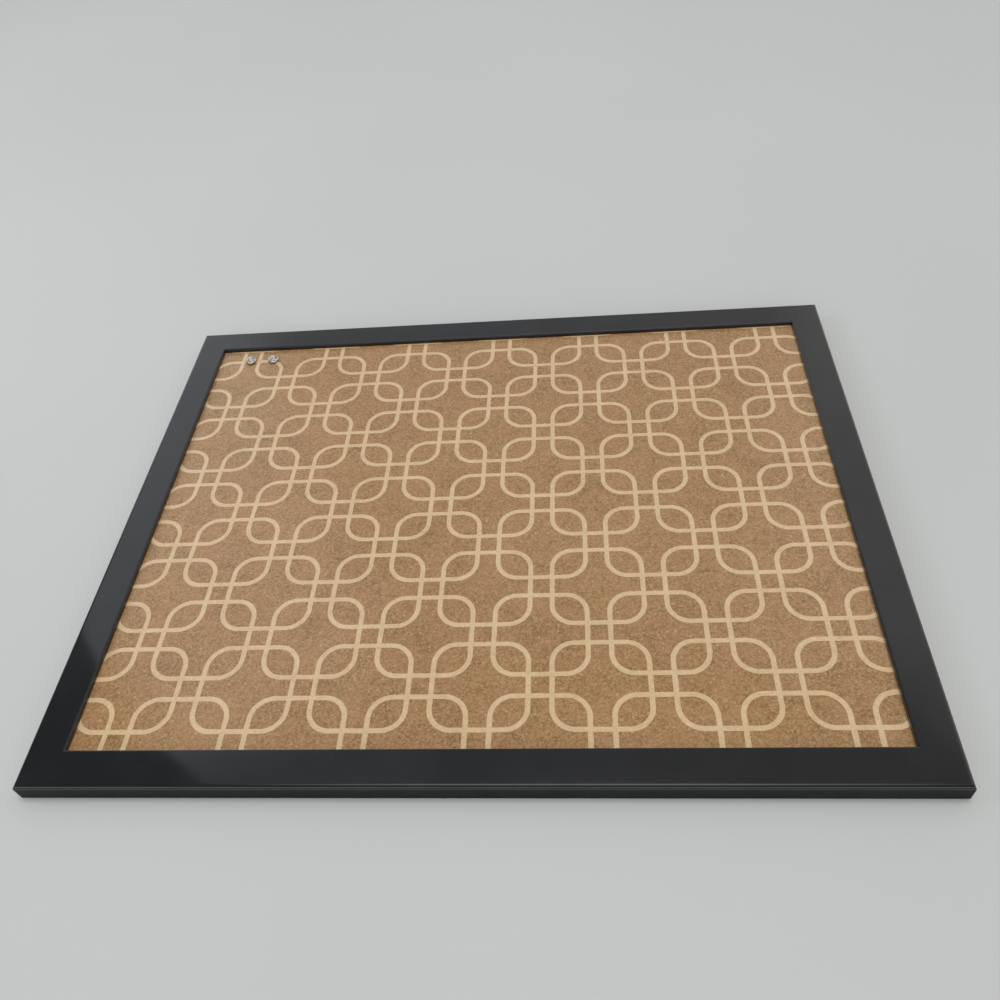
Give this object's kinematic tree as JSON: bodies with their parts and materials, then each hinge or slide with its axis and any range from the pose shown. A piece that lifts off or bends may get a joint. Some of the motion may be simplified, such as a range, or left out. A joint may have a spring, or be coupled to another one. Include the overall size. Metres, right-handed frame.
{
  "type": "framed cork board",
  "caption": "Rectangular cork pin board in a black mitred frame, printed with a lattice of overlapping rounded squares, with flush keyhole hangers behind and button tacks that pull out.",
  "frame": {"origin": "middle of the board's back, on the plane of the frame's back face", "axes": "+Z out of the cork face, +X to the right seen from the front, +Y to the edge that hangs uppermost; the board lies on its back"},
  "size_m": [0.5016, 0.4, 0.0127],
  "materials": {
    "black_frame": "satin",
    "printed_cork": "matte",
    "softboard": "matte",
    "zinc_steel": "satin",
    "nickel_tack": "polished"
  },
  "bodies": {
    "board": {"frame_rail_bottom": "black_frame", "frame_rail_top": "black_frame", "frame_stile_left": "black_frame", "frame_stile_right": "black_frame", "cork_sheet": "printed_cork", "softboard_core": "softboard", "corner_nail_bottom_left_1": "zinc_steel", "corner_nail_bottom_left_2": "zinc_steel", "corner_nail_bottom_right_1": "zinc_steel", "corner_nail_bottom_right_2": "zinc_steel", "corner_nail_top_right_1": "zinc_steel", "corner_nail_top_right_2": "zinc_steel", "corner_nail_top_left_1": "zinc_steel", "corner_nail_top_left_2": "zinc_steel", "retaining_point_bottom_1": "zinc_steel", "retaining_point_bottom_2": "zinc_steel", "retaining_point_bottom_3": "zinc_steel", "retaining_point_right_1": "zinc_steel", "retaining_point_right_2": "zinc_steel", "retaining_point_top_1": "zinc_steel", "retaining_point_top_2": "zinc_steel", "retaining_point_top_3": "zinc_steel", "retaining_point_left_1": "zinc_steel", "retaining_point_left_2": "zinc_steel", "hanger_plate_left": "zinc_steel", "hanger_plate_right": "zinc_steel", "hanger_screw_left_1": "zinc_steel", "hanger_screw_left_2": "zinc_steel", "hanger_screw_right_1": "zinc_steel", "hanger_screw_right_2": "zinc_steel"},
    "left_tack": {"tack_head_left": "nickel_tack", "tack_pin_left": "zinc_steel"},
    "right_tack": {"tack_head_right": "nickel_tack", "tack_pin_right": "zinc_steel"}
  },
  "joints": [
    {"name": "left_tack_pull", "type": "slide", "parent": "board", "child": "left_tack", "axis": [0, 0, 1], "range_m": [0, 0.012]},
    {"name": "right_tack_pull", "type": "slide", "parent": "board", "child": "right_tack", "axis": [0, 0, 1], "range_m": [0, 0.012]}
  ]
}
